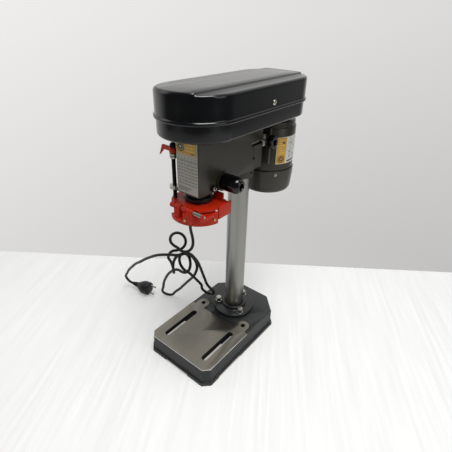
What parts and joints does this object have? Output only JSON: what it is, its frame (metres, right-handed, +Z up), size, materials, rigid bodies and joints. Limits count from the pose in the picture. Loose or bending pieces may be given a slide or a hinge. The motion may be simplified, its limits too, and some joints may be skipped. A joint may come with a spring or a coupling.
{
  "type": "bench drill press",
  "caption": "Small bench pillar drill: cast base with slots, round column, head with covered belt drive, vertical motor, geared quill feed, depth stop, hinged red guard and mains cord.",
  "frame": {"origin": "on the floor plane, on the axis of the column", "axes": "+Z up the column; -Y towards the front of the machine, where the spindle is; +X to the machine's right, where the feed hub is"},
  "size_m": [0.4092, 0.3775, 0.6024],
  "materials": {
    "charcoal_paint": "satin paint on cast iron, machined bare on the work plate",
    "black_iron": "black satin",
    "zinc": "bright zinc",
    "ground_steel": "ground and polished",
    "grey_paint": "smooth grey-brown machine paint",
    "dark_steel": "blackened steel",
    "label": "printed film",
    "black_cover": "satin black moulded cover",
    "bearing_steel": "ground",
    "spring_steel": "blued spring steel",
    "black_plastic": "fine matt",
    "glossy_black": "polished phenolic",
    "grey_plastic": "moulded",
    "belt_rubber": "dull",
    "cord_rubber": "soft satin",
    "nickel": "nickel plated",
    "red_plastic": "satin red moulding",
    "green_plastic": "satin",
    "brass": "bright",
    "pulley_alloy": "turned",
    "cap_paint": "smooth grey-brown machine paint",
    "laminations": "stacked sheet steel",
    "winding": "varnished copper"
  },
  "bodies": {
    "stand": {"base_casting": "charcoal_paint", "column_flange": "black_iron", "flange_bolts": "zinc", "column_tube": "ground_steel", "head_casting": "grey_paint", "head_set_screws": "dark_steel", "front_label": "label", "quill_guide_screw": "zinc", "cover_tray": "black_cover", "tray_screws": "zinc", "tray_hinge": "black_iron", "sleeve_bearing": "bearing_steel", "spring_cup": "black_iron", "clock_spring": "spring_steel", "rod_clamp": "zinc", "switch_box": "black_plastic", "switch_block": "grey_plastic", "cord_gland": "black_plastic", "drive_belt": "belt_rubber", "mains_cord": "cord_rubber", "plug_body": "cord_rubber", "plug_pins": "nickel"},
    "quill_group": {"quill": "dark_steel", "quill_bearings": "bearing_steel", "depth_rod": "dark_steel", "depth_nuts": "zinc", "depth_pointer": "red_plastic", "guard_ring": "black_iron", "guard_bracket": "red_plastic", "guard_clamp_screw": "zinc", "guard_pin": "nickel", "guard_spring": "nickel"},
    "spindle_body": {"spindle": "ground_steel"},
    "guard": {"guard_skirt": "red_plastic", "guard_screws": "brass"},
    "feed": {"pinion_shaft": "ground_steel", "feed_hub": "glossy_black", "hub_screw": "dark_steel"},
    "lid": {"cover_lid": "black_cover", "lid_screw": "nickel"},
    "belt_lock": {"belt_lock_knob": "black_plastic"},
    "start": {"start_button": "green_plastic"},
    "stop": {"stop_button": "red_plastic"},
    "spindle_drive": {"spindle_pulley": "pulley_alloy", "pulley_nut": "zinc"},
    "motor": {"motor_bracket": "grey_paint", "slide_rods": "ground_steel", "motor_shell": "grey_paint", "motor_top_cap": "cap_paint", "motor_end_cap": "cap_paint", "motor_screws": "nickel", "motor_label": "label", "motor_stator": "laminations", "motor_windings": "winding", "motor_bearings": "bearing_steel"},
    "rotor": {"motor_rotor": "ground_steel", "motor_fan": "black_plastic", "motor_pulley": "pulley_alloy"}
  },
  "joints": [
    {"name": "quill_travel", "type": "slide", "parent": "stand", "child": "quill_group", "axis": [0, 0, -1], "range_m": [0, 0.05], "stiffness_N_per_m": 220, "springref_m": -0.15},
    {"name": "feed_turn", "type": "hinge", "parent": "stand", "child": "feed", "pos_m": [0, -0.091, 0.4305], "axis": [1, 0, 0], "range_deg": [0, 234]},
    {"name": "guard_flip", "type": "hinge", "parent": "quill_group", "child": "guard", "pos_m": [0, -0.171, 0.3935], "axis": [-1, 0, 0], "range_deg": [0, 92]},
    {"name": "lid_open", "type": "hinge", "parent": "stand", "child": "lid", "pos_m": [-0.082, 0, 0.5522], "axis": [0, -1, 0], "range_deg": [0, 97]},
    {"name": "belt_lock_turn", "type": "hinge", "parent": "stand", "child": "belt_lock", "pos_m": [0.05, 0.0325, 0.482], "axis": [1, 0, 0], "range_deg": [0, 180]},
    {"name": "start_press", "type": "slide", "parent": "stand", "child": "start", "axis": [1, 0, 0], "range_m": [0, 0.0025], "stiffness_N_per_m": 800, "springref_m": -0.001},
    {"name": "stop_press", "type": "slide", "parent": "stand", "child": "stop", "axis": [1, 0, 0], "range_m": [0, 0.0025], "stiffness_N_per_m": 800, "springref_m": -0.001},
    {"name": "motor_slide", "type": "slide", "parent": "stand", "child": "motor", "axis": [0, -1, 0], "range_m": [0, 0.006]},
    {"name": "motor_spin", "type": "hinge", "parent": "motor", "child": "rotor", "pos_m": [0, 0.108, 0.45], "axis": [0, 0, 1], "continuous": true},
    {"name": "pulley_spin", "type": "hinge", "parent": "stand", "child": "spindle_drive", "pos_m": [0, -0.126, 0.55], "axis": [0, 0, 1], "continuous": true},
    {"name": "spindle_spin", "type": "hinge", "parent": "quill_group", "child": "spindle_body", "pos_m": [0, -0.126, 0.4], "axis": [0, 0, 1], "continuous": true}
  ],
  "couplings": [
    {"joint": "feed_turn", "follows": "quill_travel", "rad_per_m": 81.633},
    {"joint": "pulley_spin", "follows": "motor_spin", "ratio": 0.54546},
    {"joint": "spindle_spin", "follows": "motor_spin", "ratio": 0.54546}
  ]
}
